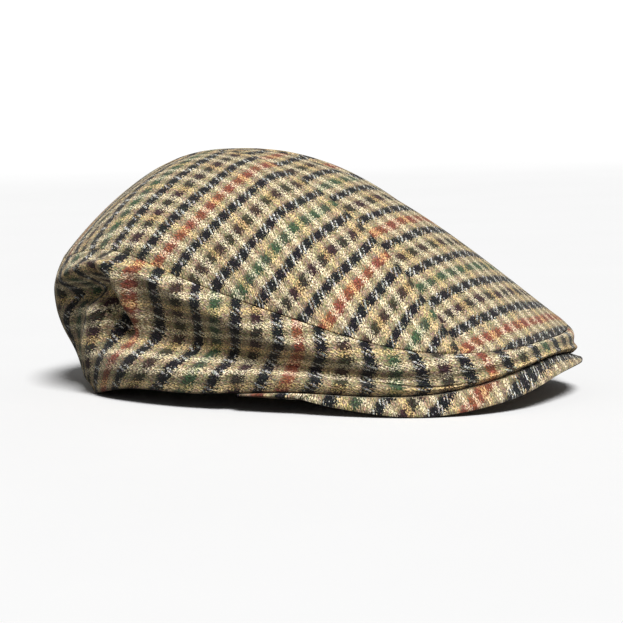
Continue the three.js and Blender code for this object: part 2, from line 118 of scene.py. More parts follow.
# Creases and dents of the band, each along a line of stations. at is in degrees and up is a
# part of the way up the band. behind and ahead are the widths to the right and to the left of
# the line, seen from outside along it, and out is how far it stands out.
FOLD_COLUMNS = ("at", "up", "behind", "ahead", "out")
BAND_FOLDS = {
    "lobe": [(-146, 0.87, 5, 9, 2), (-134, 0.81, 4, 9, 5), (-126, 0.75, 4, 8, 5), (-119, 0.74, 4, 8, 4)],
    "hollow": [
        (-146, 0.78, 5, 4, -4), (-135, 0.70, 5, 4, -12),
        (-126, 0.65, 5, 4, -9), (-121, 0.62, 4, 4, -3),
    ],
    "back ridge": [
        (-129, 0.62, 6, 6, 2), (-132, 0.56, 6, 7, 5), (-135, 0.46, 6, 7, 6),
        (-138, 0.34, 6, 8, 4), (-142, 0.18, 6, 8, 1),
    ],
    "back facet": [(-143, 0.64, 6, 6, -2), (-146, 0.50, 7, 7, -3), (-150, 0.34, 7, 7, -2)],
    "pocket": [(-130, 0.56, 6, 7, 4), (-128, 0.46, 7, 8, 3)],
    "hanging fold": [
        (-117, 0.78, 4, 8, 2), (-115, 0.68, 3, 9, 7), (-115.5, 0.60, 3, 9, 8),
        (-117, 0.52, 3, 8, 5), (-119, 0.44, 4, 7, 2),
    ],
    "crease": [
        (-121, 0.68, 3, 2.5, -2), (-120, 0.60, 3, 2.5, -5),
        (-121.5, 0.50, 4, 3, -4), (-124, 0.44, 4, 3, -1),
    ],
    "front fold": [
        (-45, 0.42, 3, 2.5, -0.5), (-38, 0.38, 3, 2.5, -1.8),
        (-31, 0.26, 3, 2.5, -1.8), (-24, 0.22, 3, 2.5, -0.5),
    ],
    "rim corner": [
        (-176, 0.02, 3, 3, -1), (-160, 0.02, 3, 3, -3), (-149, 0.02, 3, 3, -3), (-138, 0.02, 3, 3, 0),
    ],
    "rim pucker": [(-76, 0.30, 4, 4, -0.5), (-78, 0.18, 4, 4, -2.5), (-79, 0.02, 4, 4, -2)],
    "left pocket": [(124, 0.64, 6, 6, -3), (134, 0.62, 6, 6, -7), (146, 0.60, 7, 7, -4)],
    "left ridge": [(117, 0.74, 6, 5, 2), (119, 0.56, 7, 4, 6), (123, 0.34, 8, 5, 3)],
    "back dent": [(170, 0.56, 8, 8, -2), (182, 0.54, 8, 8, -5), (194, 0.58, 8, 8, -2)],
}

# The peak by direction: how far its edge stands out, the height of its edge and the
# height of its upper face at the head opening.
PEAK_COLUMNS = ("at", "out", "edge_z", "inner_z")
PEAK_ROWS = np.array([
    [-80, 0.4, 6.6, 8.6],
    [-64, 0.7, 8.3, 10.0],
    [-48, 2.4, 2.2, 14.0],
    [-32, 4.5, -1.3, 18.0],
    [-16, 5.0, 4.2, 22.0],
    [0, 5.8, 13.4, 24.5],
    [16, 5.2, 14.6, 22.0],
    [32, 4.4, 7.6, 18.0],
    [48, 2.4, -1.3, 14.0],
    [64, 0.7, 8.3, 10.0],
    [80, 0.4, 6.6, 8.6],
])

# ---------------- the cloth's pattern
# One repeat of the check each way. A warp row is a yarn, its width and how much weft is mixed
# in with it: the dense navy lets little through but thin ticks of light weft. A weft row is a
# yarn, its width and how strongly it ticks across the navy. A navy stripe comes every STRIPE
# millimetres, and the first one's middle is 0.
STRIPE = 20.0
WARP_BANDS = [
    band
    for name, mixed in (("green", 0.62), ("aubergine", 0.62), ("rust", 0.60), ("brown", 0.62))
    for band in (("navy", 5.2, 0.12), ("cream", 4.6, 0.48), (name, 5.4, mixed), ("cream", 4.8, 0.48))
]
WEFT_BANDS = [
    ("plum", 4.6, 0), ("light", 3.2, 1), ("teal", 4.6, 0), ("light", 3.0, 1),
    ("plum", 4.4, 0), ("gold", 3.6, 0.7), ("teal", 4.6, 0), ("light", 3.2, 1),
    ("plum", 4.6, 0), ("light", 3.4, 1), ("teal", 4.4, 0), ("gold", 3.2, 0.7),
]
# The twill's diagonal: one light tick for every TWILL_PITCH millimetres.
TWILL_PITCH = 2.7
# Noises stretched along the twill: how fine they are along it and over it, for each
# millimetre, the level at which the noise is cut, its detail and its roughness.
HAIR = (0.45, 1.3, 3.0, 2.0, 0.65)
SPECK = (1.2, 1.7, 6.0, 1.0, 0.6)
FLECK = (0.5, 0.9, 9.0, 3.0, 0.7)
# Noises that are the same both ways: how fine they are, their detail and their roughness.
WANDER = (0.06, 1.0, 0.5)
FINE = (1.1, 2.0, 0.7)
# How far each noise moves the bands' edges and the ticks, in millimetres.
BAND_SHIFTS = dict(wander=3.0, hair=4.5, fine=7.5)
TICK_SHIFTS = dict(fine=1.6, wander=4.0)
# A tick's half width as a part of the pitch, how hair and fine change it, how soft its edge
# is, and how much weft a yarn may let through and still be dense enough to show ticks.
TICK = dict(half=0.17, hair=0.5, fine=0.3, soft=0.06, dense=0.3)
# How strongly the specks vary, where they begin and are full, and how much warp colour
# softens the weft.
SPECK_RANGE = 3.0
SPECK_EDGES = (0.25, 0.75)
SOFTENING = 0.25
# The yarns' shade: its middle, what each noise adds to it and how dark it may get.
SHADE = dict(middle=0.93, hair=2.6, fine=5.2, speck=5.2, least=0.3)
FLECK_SHARE = 0.7
# The relief, in parts of the bump's distance, and the rest of the wool's finish.
RELIEF = dict(twill=0.15, hair=1.2, fine=1.2)
BUMP = {"Strength": 0.8, "Distance": 0.0006}
SHEEN = {"Sheen Weight": 0.18, "Sheen Roughness": 0.5, "Sheen Tint": (1.0, 0.95, 0.86, 1.0)}
WOOL_SPECULAR = 0.2
# The fine noise's low and high values and the roughness that each gives.
WOOL_ROUGHNESS = (0.2, 0.8, 0.82, 1.0)
# How many millimetres the weft's bands move for one step of a piece's weft_start.
WEFT_STEP = 8.0

# How many navy stripes from the first a place on the centre panel is, by distance along the
# crown's middle line from its highest point.
CENTRE_CHECK = [
    (-180, -12.0), (0, -3.0), (60.5, 0.0), (102, 2.0), (141, 4.0), (179, 6.0), (230, 8.6),
]
# How far its stripes bow, for each square millimetre away from its middle, and over what
# distance ahead of the highest point the bow grows.
CENTRE_BOW = 0.0045
BOW_GROWS_OVER = 60
# The side panels' count at the highest point, its rate and growth along, its lean and bend down
# from the centre panel, and how far it fans out along times down.
SIDE_CHECK = dict(top=-3.217, rate=0.0433, growth=4.4e-5, lean=-0.0037, bend=1.6e-4, fan=5.9e-5)
# The same count round the side band, by direction from the back to the front.
BAND_CHECK = [
    (-180, -9.6), (-150, -7.5), (-120, -5.35), (-90, -3.5), (-60, -1.5), (-30, 1.15), (0, 4.9),
]
# How far the band's stripes slide at the five heights of SLIDE_UPS where it drapes, by
# direction from the front, the same on both sides.
SLIDE_UPS = (0, 0.25, 0.5, 0.75, 1)
BAND_SLIDES = [
    (0, (0, 0, 0, 0, 0)),
    (30, (0, 0, 0, -2, -4)),
    (60, (-4, 0, 3, 8, 8)),
    (90, (-8, 0, 8, 19, 19)),
    (120, (-20, 0, 8, 26, 30)),
    (150, (-22, 0, 10, 28, 30)),
    (180, (-20, 0, 12, 22, 24)),
]
# The peak's stripes: the place of the rust one and its count, their spacing, and how far they
# lean for each millimetre that the edge hangs below lean_from, with lean_least as the least.
PEAK_CHECK = dict(rust=123.0, count=2.5, spacing=24.5, lean=0.4, lean_from=9, lean_least=3)

# How each piece's cloth was cut: its flat size and area in metres, where the weft's bands
# start and how steeply the twill runs.
CLOTH_CUTS = {
    "crown_center": dict(flat=(0.115, 0.33), area=0.0166, weft_start=1.0, twill_slope=0.9),
    "crown_right": dict(flat=(0.105, 0.29), area=0.0186, weft_start=3.0, twill_slope=0.5),
    "crown_left": dict(flat=(0.105, 0.29), area=0.0186, weft_start=5.0, twill_slope=0.5),
    "side_band": dict(flat=(0.62, 0.08), area=0.038, weft_start=2.0, twill_slope=0.6),
    "peak": dict(flat=(0.185, 0.13), area=0.0113, weft_start=4.0, twill_slope=0.7),
}

# ---------------- the stage
# The camera's aim and place in millimetres, its lens, its sensor's width and its slight roll.
CAMERA = dict(
    aim=(4.2, -3.2, 39.2), stand=(619.0, -1026.4, 163.3), lens=138.7, sensor=36, roll=1.25,
)
# Which way the light falls, and how wide it looks from the cap, in degrees.
LIGHT_FALLS = (-0.66, 0.72, -1.05)
LIGHT_WIDTH = 20
# The floor in metres: flat out to one radius, and then curving up. Its paper's mottle is
# given by its fineness, its detail and what it does to the shade.
FLOOR = dict(flat=2.2, curve=4.2, rise=2.2, power=1.2)
FLOOR_RINGS = (np.linspace(0.4, 2.2, 8), np.linspace(2.4, 6.0, 24))
FLOOR_SPOKES = 96
MOTTLE = (6.0, 3.0)
MOTTLE_SHADE = (0.2, 0.8, 0.985, 1.0)
PAPER_ROUGHNESS = 0.9


# ---------------- small helpers
def mix(a, b, share):
    """The value share of the way from a to b."""
    return a + (b - a) * share


def smooth_step(value):
    """0 below 0 and 1 above 1, with an S curve between."""
    t = np.clip(value, 0, 1)
    return t * t * (3 - 2 * t)


def xyz(x, y, z):
    """Three arrays as one array of points."""
    return np.stack(np.broadcast_arrays(x, y, z), axis=-1)


def new_object(name, data):
    """An object of its own for some data, linked to the scene."""
    made = bpy.data.objects.new(name, data)
    bpy.context.scene.collection.objects.link(made)
    return made


def length_of(vectors):
    """The lengths of an array of vectors."""
    return np.sqrt((vectors ** 2).sum(axis=-1))


def unit(vectors):
    """An array of vectors, each made one unit long."""
    return vectors / np.maximum(length_of(vectors), 1e-9)[..., None]


def by_direction(column, angle):
    """A column of DIRECTIONS at any angle: a Catmull-Rom curve through the rows, going round."""
    values = DIRECTIONS[:, DIRECTION_COLUMNS.index(column)]
    place = (np.degrees(angle) + 180) / (360 / len(values))
    first = np.floor(place).astype(int)
    share = place - first
    a, b, c, d = (values[(first + step) % len(values)] for step in (-1, 0, 1, 2))
    cubic = 3 * (b - c) + d - a
    square = 2 * a - 5 * b + 4 * c - d
    return b + 0.5 * share * (c - a + share * (square + share * cubic))


def through_rows(knots, values, place):
    """A cubic curve through rows of values at the knots, with slopes taken from the neighbours.
    values has one number or one array like place for each knot."""
    knots = np.asarray(knots, dtype=float)
    values = np.stack(np.broadcast_arrays(*values, place)[:-1])
    last = len(knots) - 1
    low = np.maximum(np.arange(last + 1) - 1, 0)
    high = np.minimum(np.arange(last + 1) + 1, last)
    run = (knots[high] - knots[low]).reshape((-1,) + (1,) * (values.ndim - 1))
    slopes = (values[high] - values[low]) / run
    at = np.clip(place, knots[0], knots[-1])
    k = np.searchsorted(knots[1:-1], at, side="left")
    span = knots[k + 1] - knots[k]
    t = (at - knots[k]) / span

    def pick(rows, index):
        return np.take_along_axis(rows, index[None], axis=0)[0]

    return (
        (2 * t ** 3 - 3 * t ** 2 + 1) * pick(values, k)
        + (t ** 3 - 2 * t ** 2 + t) * span * pick(slopes, k)
        + (3 * t ** 2 - 2 * t ** 3) * pick(values, k + 1)
        + (t ** 3 - t ** 2) * span * pick(slopes, k + 1)
    )


def by_peak_row(column, angle):
    """A column of PEAK_ROWS at any angle."""
    values = PEAK_ROWS[:, PEAK_COLUMNS.index(column)]
    return through_rows(PEAK_ROWS[:, 0], values, np.degrees(angle))


def outline_point(outline, angle):
    """A plan outline in one direction: centre plus r along the direction, where
    r = (|cos/reach|^power + |sin/half|^power)^(-1/power)."""
    ahead, across = np.cos(angle), np.sin(angle)
    front = ahead > 0
    reach = np.where(front, outline["front"] - outline["centre"], outline["centre"] - outline["back"])
    power = np.where(front, outline["front_power"], outline["back_power"])
    total = np.abs(ahead / reach) ** power + np.abs(across / outline["half"]) ** power
    radius = total ** (-1 / power)
    return outline["centre"] + radius * ahead, radius * across


# ---------------- the cap's surfaces
def fold_moves(angle, up):
    """How far the folds move the band out. For each fold it is its height times
    exp(-(distance to its line / width)^2), by the nearest place on the line."""
    per_degree = math.pi * BAND_RADIUS / 180
    degrees = np.degrees(angle)
    total = np.zeros(np.broadcast(angle, up).shape)
    for stations in BAND_FOLDS.values():
        middle = (stations[0][0] + stations[-1][0]) / 2
        turned = degrees + 360 * np.round((middle - degrees) / 360)
        nearest = np.full(total.shape, np.inf)
        push = np.zeros_like(total)
        for first, last in zip(stations[:-1], stations[1:]):
            a, b = (dict(zip(FOLD_COLUMNS, row)) for row in (first, last))
            along_x, along_y = (b["at"] - a["at"]) * per_degree, (b["up"] - a["up"]) * BAND_HEIGHT
            to_x, to_y = (turned - a["at"]) * per_degree, (up - a["up"]) * BAND_HEIGHT
            share = np.clip((to_x * along_x + to_y * along_y) / (along_x ** 2 + along_y ** 2), 0, 1)
            distance = np.hypot(to_x - share * along_x, to_y - share * along_y)
            # 1 on the ahead side and 0 on the behind side, turning smoothly round the ends.
            side = (along_x * to_y - along_y * to_x) / math.hypot(along_x, along_y)
            ahead = smooth_step(0.5 + side / np.hypot(distance, 1) / 2)
            width = mix(mix(a["behind"], b["behind"], share), mix(a["ahead"], b["ahead"], share), ahead)
            here = mix(a["out"], b["out"], share) * np.exp(-((distance / width) ** 2))
            push = np.where(distance < nearest, here, push)
            nearest = np.minimum(nearest, distance)
        total += push
    return total


def band_point(angle, up):
    """The outside of the side band, up going from the rim at 0 to the top seam at 1: a line
    from rim to seam, moved outward by a bulge, a floor and a lip at fixed places up it."""
    angle, up = np.broadcast_arrays(angle, up)
    rim_x, rim_y = outline_point(RIM, angle)
    seam_x, seam_y = outline_point(TOP_SEAM, angle)
    floor_rise, lip_rise = by_direction("floor_rise", angle), by_direction("lip_rise", angle)
    lip_out = by_direction("lip_out", angle)
    nothing = np.zeros_like(lip_out)
    knots = [0, 0.25, 0.5, 0.75, 0.88, 1]
    outs = [
        nothing, by_direction("band_out", angle), by_direction("floor_out", angle),
        lip_out, 0.8 * lip_out, nothing,
    ]
    rises = [nothing, 0.52 * floor_rise, floor_rise, lip_rise, mix(lip_rise, 1, 0.5), nothing + 1]
    out = through_rows(knots, outs, up) + fold_moves(angle, up)
    rise = through_rows(knots, rises, up)
    rim_z = np.maximum(by_direction("rim_z", angle), 0)
    return xyz(
        mix(rim_x, seam_x, rise) + out * np.cos(angle),
        mix(rim_y, seam_y, rise) + out * np.sin(angle),
        mix(rim_z, by_direction("seam_z", angle), rise),
    )


def crown_point(ahead, across):
    """The outside of the crown over a disc whose edge is the top seam. With r from the middle,
    height = (1 - fall)^full, and fall goes from 0 to 1 as (r^2 + e^2)^(round/2)."""
    radius = np.clip(np.hypot(ahead, across), 1e-6, 1)
    angle = np.arctan2(across, ahead)
    seam_x, seam_y = outline_point(TOP_SEAM, angle)
    power = by_direction("round", angle)
    lowest = TOP_ROUNDING ** power
    fall = ((radius ** 2 + TOP_ROUNDING ** 2) ** (power / 2) - lowest) / (
        (1 + TOP_ROUNDING ** 2) ** (power / 2) - lowest
    )
    height = np.maximum(1 - fall, 0) ** by_direction("full", angle)
    return xyz(
        mix(CROWN_TOP[0], seam_x, radius),
        mix(CROWN_TOP[1], seam_y, radius),
        mix(by_direction("seam_z", angle), CROWN_TOP[2], height),
    )


def peak_point(angle, out):
    """The upper face of the peak: out is -1 at the head opening, 0 under the crown's edge and
    1 at its own edge, straight between them."""
    angle, out = np.broadcast_arrays(angle, out)
    rim_x, rim_y = outline_point(RIM, angle)
    rim_z = np.maximum(by_direction("rim_z", angle), 0) - PEAK_GAP
    inner_x, inner_y = outline_point(HEAD_OPENING, angle)
    inner_z = np.minimum(by_peak_row("inner_z", angle), rim_z)
    reach = by_peak_row("out", angle) * np.maximum(out, 0)
    edge_z = np.minimum(by_peak_row("edge_z", angle) + PEAK_EDGE_RISE, rim_z)
    inward = np.maximum(-out, 0)
    return xyz(
        mix(rim_x, inner_x, inward) + reach * np.cos(angle),
        mix(rim_y, inner_y, inward) + reach * np.sin(angle),
        mix(mix(rim_z, inner_z, inward), edge_z, np.maximum(out, 0)),
    )


def square_to(surface, u, v, step_u, step_v):
    """The direction square to a surface, from points a little to each side."""
    along_u = surface(u + step_u, v) - surface(u - step_u, v)
    along_v = surface(u, v + step_v) - surface(u, v - step_v)
    return unit(np.cross(along_u, along_v))


def seam_square(angle):
    """Half way between the band's and the crown's square directions near the top seam."""
    near = 0.96
    band = square_to(band_point, angle, np.full_like(angle, near), 0.02, 0.01)
    crown = square_to(crown_point, near * np.cos(angle), near * np.sin(angle), 0.01, 0.01)
    return unit(band + crown)


# ---------------- walls as closed meshes
def edge_steps(count, length):
    """count + 1 shares from 0 to 1, even in the middle, with closer rows for the rounded
    edges of a wall that is about length millimetres across."""
    close = np.array([0, 0.2, 0.55, 1.1, 2.0]) / length
    middle = np.linspace(close[-1], 1 - close[-1], count + 1 - 2 * (len(close) - 1))
    return np.concatenate([close[:-1], middle, 1 - close[:-1][::-1]])


def run_along(points, axis):
    """Distance covered from the first row to each row, along one axis of a grid of points."""
    steps = length_of(np.diff(points, axis=axis))
    pad = [(0, 0), (0, 0)]
    pad[axis] = (1, 0)
    return np.cumsum(np.pad(steps, pad), axis=axis)


def distance_to_edge(points):
    """Distance to the nearest of the four edges of a grid of points, along its lines."""
    along, across = run_along(points, 0), run_along(points, 1)
    to_end = np.minimum(along, along[-1:] - along)
    to_side = np.minimum(across, across[:, -1:] - across)
    return np.minimum(to_end, to_side)


def grid_square(points, ring):
    """The direction square to a grid of points, from the rows on both sides of each."""
    if ring:
        along = np.roll(points, -1, axis=0) - np.roll(points, 1, axis=0)
    else:
        along = np.gradient(points, axis=0)
    across = np.gradient(points, axis=1)
    return unit(np.cross(along, across))


def grid_quads(index, flipped=False):
    """Quads of a grid of vertex numbers, as an array of corners."""
    corners = [index[:-1, :-1], index[1:, :-1], index[1:, 1:], index[:-1, 1:]]
    quads = np.stack(corners, -1).reshape(-1, 4)
    return quads[:, [0, 3, 2, 1]] if flipped else quads


def wall_quads(outer, inner, ends):
    """Quads of a closed wall over two grids of vertex numbers: both faces, both long edges
    and, if it has them, both ends."""
    edges = [(outer[:, 0], inner[:, 0], True), (outer[:, -1], inner[:, -1], False)]
    if ends:
        edges += [(outer[0], inner[0], False), (outer[-1], inner[-1], True)]
    quads = [grid_quads(outer), grid_quads(inner, True)]
    quads += [grid_quads(np.stack([one, other], 1), flipped) for one, other, flipped in edges]
    return np.concatenate(quads)


def make_wall(
    node, yarns, points, square, thickness, rounding, edge_distance, cloth_place, ring=False, lowest=0
):
    """A closed wall of cloth in a node's place. The outer face is points, the inner face lies
    one thickness in, and both close in along a quarter circle of radius rounding at the edges.
    Nothing hangs below lowest. cloth_place is the place on the flat cloth, and a ring has one
    row more of it than of points, where it comes round to the start again."""
    reach = np.clip(edge_distance, 0.1 * rounding, rounding)
    inset = rounding - np.sqrt(2 * rounding * reach - reach ** 2)
    faces = []
    for depth in (inset, thickness - inset):
        face = points - square * depth[..., None]
        face[..., 2] = np.maximum(face[..., 2], lowest)
        faces.append(face.reshape(-1, 3))
    count = points[..., 0].size
    corners = np.arange(count).reshape(points.shape[:2])
    if ring:
        corners = np.vstack([corners, corners[:1]])
    vertices = np.concatenate(faces) + np.array(SHIFT)
    mesh = bpy.data.meshes.new(node)
    mesh.from_pydata(vertices * MM, [], wall_quads(corners, corners + count, not ring))
    spots = np.arange(cloth_place[..., 0].size).reshape(cloth_place.shape[:2])
    spots = wall_quads(spots, spots, not ring)
    places = cloth_place.reshape(-1, 2)[spots.reshape(-1)].astype(np.float32)
    mesh.uv_layers.new(name="cloth").data.foreach_set("uv", places.ravel())
    mesh.validate(verbose=False)
    mesh.shade_smooth()
    mesh.update()
    finish_piece(new_object(node, mesh), node, yarns)


# ---------------- places on the crown
def panel_corners():
    """The directions of the centre panel's front and back corners on the wearer's left."""
    return math.radians(CENTRE_PANEL["front"]), math.pi - math.radians(CENTRE_PANEL["back"])


def side_arc_angle(share, gap):
    """The direction where a side panel's row meets the band."""
    front, back = panel_corners()
    return mix(front + gap, back - gap, share)


def side_bow(share):
    """How much further out the centre panel's long side is than a straight line in the disc, so
    that seen from above it is a straight line bowed by a half sine."""
    front, back = panel_corners()
    ahead = mix(math.cos(front), math.cos(back), share)
    straight = mix(math.sin(front), math.sin(back), share)
    bow = CENTRE_PANEL["bow"] * np.sin(np.pi * share)
    ends = [float(outline_point(TOP_SEAM, np.array(angle))[1]) for angle in (front, back)]
    half_width = mix(ends[0], ends[1], share) + bow
    across = straight
    for _ in range(6):
        seam_x, seam_y = outline_point(TOP_SEAM, np.arctan2(across, ahead))
        across = half_width / np.hypot(seam_x - TOP_SEAM["centre"], seam_y)
    return across - straight


def centre_place(share, across, gap):
    """A place on the centre panel: share along it from the front, and across it from -1 to 1."""
    front = (math.radians(CENTRE_PANEL["front"]) + gap) * across
    back = (math.radians(CENTRE_PANEL["back"]) + gap) * across
    ahead = mix(np.cos(front), -np.cos(back), share)
    return ahead, mix(np.sin(front), np.sin(back), share) + side_bow(share) * across


def crown_length(x):
    """Distance along the crown's middle line, from its highest point, at a place x along it."""
    ahead = np.linspace(-1, 1, 2001)
    line = crown_point(ahead, np.zeros_like(ahead))
    line = line[np.argsort(line[:, 0])]
    run = np.concatenate([[0], np.cumsum(length_of(np.diff(line, axis=0)))])
    top = np.interp(CROWN_TOP[0], line[:, 0], run)
    return np.interp(x, line[:, 0], run) - top


def cloth_across(points, axis):
    """Distance across the cloth along one axis of a grid, from its first line: each step's
    sideways part together with the rise that the surface's slope gives it, added up."""
    (x0, y0, z0), (x1, y1, z1) = (np.moveaxis(np.gradient(points, axis=a), -1, 0) for a in (0, 1))
    turn = x0 * y1 - y0 * x1
    turn = np.where(np.abs(turn) < 1e-9, 1e-9, turn)
    slope = np.clip((x0 * z1 - z0 * x1) / turn, -STEEPEST, STEEPEST)
    rate = np.moveaxis(np.sqrt(1 + slope ** 2), axis, 0)
    sideways = np.moveaxis(points[..., 1], axis, 0)
    steps = np.diff(sideways, axis=0) * (rate[1:] + rate[:-1]) / 2
    run = np.cumsum(np.pad(steps, [(1, 0), (0, 0)]), axis=0)
    return np.moveaxis(run, 0, axis)


def crown_wall_square(ahead, across, points):
    """The crown's square direction, turned to the shared one close to the top seam."""
    square = grid_square(points, False)
    radius = np.hypot(ahead, across)
    angle = np.arctan2(across, ahead)
    near = smooth_step(1 - (1 - radius) * BAND_RADIUS / SEAM_TURN)[..., None]
    return unit(mix(square, seam_square(angle), near))


# ---------------- the pieces
def finish_piece(piece, node, yarns):
    """Gives the piece that replaces a node its cloth and its body."""
    cut = CLOTH_CUTS[node]
    cloth = tweed_material(f"tweed_{node}", yarns, cut["weft_start"], cut["twill_slope"])
    piece.data.materials.append(cloth)
    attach(piece, "root")
    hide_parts(node)


def seam_groove(distance, sizes):
    """How far the cloth sinks where it turns into a seam: depth times exp(-(distance/width)^2)."""
    return sizes.seam_depth * np.exp(-((distance / sizes.seam_width) ** 2))


def stripe_count(rows, place):
    """How many navy stripes from the first a place is, smoothly through the rows of a table."""
    knots, counts = zip(*rows)
    return through_rows(knots, counts, place)


def build_centre_panel(sizes, yarns):
    """The middle panel of the top. Its rows cross the disc between the arcs of its two ends,
    closer together towards them as a half cosine."""
    long_span, wide_span = WALL_SPANS["centre"]
    share = 1 - edge_steps(sizes.centre_rows, long_span)
    share = (1 - np.cos(np.pi * share)) / 2
    across = 2 * edge_steps(sizes.centre_columns, wide_span) - 1
    share, across = np.meshgrid(share, across, indexing="ij")
    ahead, sideways = centre_place(share, across, -PANEL_GAP_ANGLE)
    points = crown_point(ahead, sideways)
    square = crown_wall_square(ahead, sideways, points)
    distance = distance_to_edge(points)
    points = points - square * seam_groove(distance, sizes)[..., None]
    along = crown_length(points[..., 0])
    across_run = cloth_across(points, 1)
    middle = across_run[:, across_run.shape[1] // 2][:, None]
    bow = CENTRE_BOW * points[..., 1] ** 2 * smooth_step(along / BOW_GROWS_OVER)
    place = np.stack([STRIPE * stripe_count(CENTRE_CHECK, along + bow), across_run - middle], -1)
    make_wall("crown_center", yarns, points, square, sizes.cloth_thickness, SEAM_ROUNDING, distance, place)


def build_side_panel(node, side, sizes, yarns):
    """A side panel of the top. Each row runs straight in the disc from the centre panel to the
    band, and the columns close up as a sine on the way. side is 1 on the wearer's left and -1
    on the right."""
    long_span, wide_span = WALL_SPANS["side"]
    share = 1 - edge_steps(sizes.side_rows, long_span)
    wide = edge_steps(sizes.side_columns, wide_span)
    share_grid, wide_grid = np.meshgrid(share, wide, indexing="ij")
    reach = np.sin(np.pi / 2 * wide_grid)
    along_top = (1 - np.cos(np.pi * share_grid)) / 2
    seam_ahead, seam_across = centre_place(along_top, np.ones_like(along_top), PANEL_GAP_ANGLE)
    arc = side_arc_angle(share_grid, PANEL_GAP_ANGLE)
    ahead = mix(seam_ahead, np.cos(arc), reach)
    sideways = mix(seam_across, np.sin(arc), reach) * side
    points = crown_point(ahead, sideways)
    along = crown_length(points[..., 0])
    across_run = side * cloth_across(points, 1)
    top, rate, growth, lean, bend, fan = SIDE_CHECK.values()
    count = top + (rate + growth * along + fan * across_run) * along
    count = count + (lean + bend * across_run) * across_run
    place = np.stack([STRIPE * count, side * across_run], -1)
    if side < 0:
        ahead, sideways, points, place = (grid[:, ::-1] for grid in (ahead, sideways, points, place))
    square = crown_wall_square(ahead, sideways, points)
    distance = distance_to_edge(points)
    points = points - square * seam_groove(distance, sizes)[..., None]
    make_wall(node, yarns, points, square, sizes.cloth_thickness, SEAM_ROUNDING, distance, place)


def build_side_band(sizes, yarns):
    """The side band: one ring of cloth over the direction and the height from the rim to
    SEAM_GAP below the top seam."""
    angle = np.radians(np.linspace(-180, 180, sizes.band_columns + 1))
    up = edge_steps(sizes.band_rows, WALL_SPANS["band"])
    angle, up = np.meshgrid(angle, up, indexing="ij")
    height = length_of(band_point(angle, np.ones_like(up)) - band_point(angle, np.zeros_like(up)))
    points = band_point(angle, up * (1 - SEAM_GAP / height))
    square = grid_square(points[:-1], True)
    square = np.concatenate([square, square[:1]])
    rise = run_along(points, 1)
    to_seam = rise[:, -1:] - rise
    radial = xyz(np.cos(angle), np.sin(angle), 0)
    square = unit(mix(square, radial, smooth_step(1 - rise / RIM_TURN)[..., None]))
    square = unit(mix(square, seam_square(angle), smooth_step(1 - to_seam / SEAM_TURN)[..., None]))
    points = points - square * seam_groove(to_seam, sizes)[..., None]
    rounding = np.where(rise < to_seam, sizes.cloth_thickness / 2, SEAM_ROUNDING)[:-1]
    make_wall(
        "side_band", yarns, points[:-1], square[:-1], sizes.cloth_thickness, rounding,
        np.minimum(rise, to_seam)[:-1], band_place(angle, up, rise, sizes),
        ring=True, lowest=points[:-1, :1, 2],
    )


def band_place(angle, up, rise, sizes):
    """The place on the flat band: stripes counted round the cap, slid back by the drape of the
    cloth, and distance up it. The left side mirrors the right."""
    rim, seam = outline_point(RIM, angle), outline_point(TOP_SEAM, angle)
    run = run_along(np.stack([(rim[0] + seam[0]) / 2, (rim[1] + seam[1]) / 2], -1), 0)
    turn = np.abs(np.degrees(angle))
    directions, slides = zip(*BAND_SLIDES)
    by_up = [through_rows(directions, at_height, turn) for at_height in zip(*slides)]
    slide = sizes.drape * through_rows(SLIDE_UPS, by_up, up)
    count = stripe_count(BAND_CHECK, -turn)
    front = BAND_CHECK[-1][1]
    here = STRIPE * np.where(angle < 0, count, 2 * front - count)
    # Millimetres of cloth for each millimetre round the cap.
    rate = np.gradient(here, axis=0) / np.maximum(np.gradient(run, axis=0), 1e-6)
    return np.stack([here + np.sign(angle) * slide * rate, rise], -1)


def build_peak(sizes, yarns):
    """The peak: a stiff crescent covered in cloth, over the direction and the way out from the
    head opening to past the crown."""
    round_span, out_span = WALL_SPANS["peak"]
    angle = np.radians(PEAK_END) * (2 * edge_steps(sizes.peak_columns, round_span) - 1)
    out = 1 - 2 * edge_steps(sizes.peak_rows, out_span)
    angle, out = np.meshgrid(angle, out, indexing="ij")
    points = peak_point(angle, out)
    square = grid_square(points, False)
    rust, rust_count, spacing, lean, lean_from, lean_least = PEAK_CHECK.values()
    hang = np.maximum(out, 0) * np.maximum(lean_from - by_peak_row("edge_z", angle), lean_least)
    count = rust_count + (points[..., 0] + SHIFT[0] - rust + lean * hang) / spacing
    across_run = cloth_across(points, 0)
    middle = across_run[across_run.shape[0] // 2]
    place = np.stack([STRIPE * count, across_run - middle], -1)
    to_end = (PEAK_END - np.abs(np.degrees(angle))) / PEAK_TAPER
    thickness = mix(PEAK_TIP, sizes.peak_thickness, smooth_step(to_end))
    make_wall("peak", yarns, points, square, thickness, thickness / 2, distance_to_edge(points), place)


# ---------------- materials
def linear(colour):
    """A colour given by eye (sRGB) as the linear one that shaders use."""
    return [c / 12.92 if c <= 0.04045 else ((c + 0.055) / 1.055) ** 2.4 for c in colour]


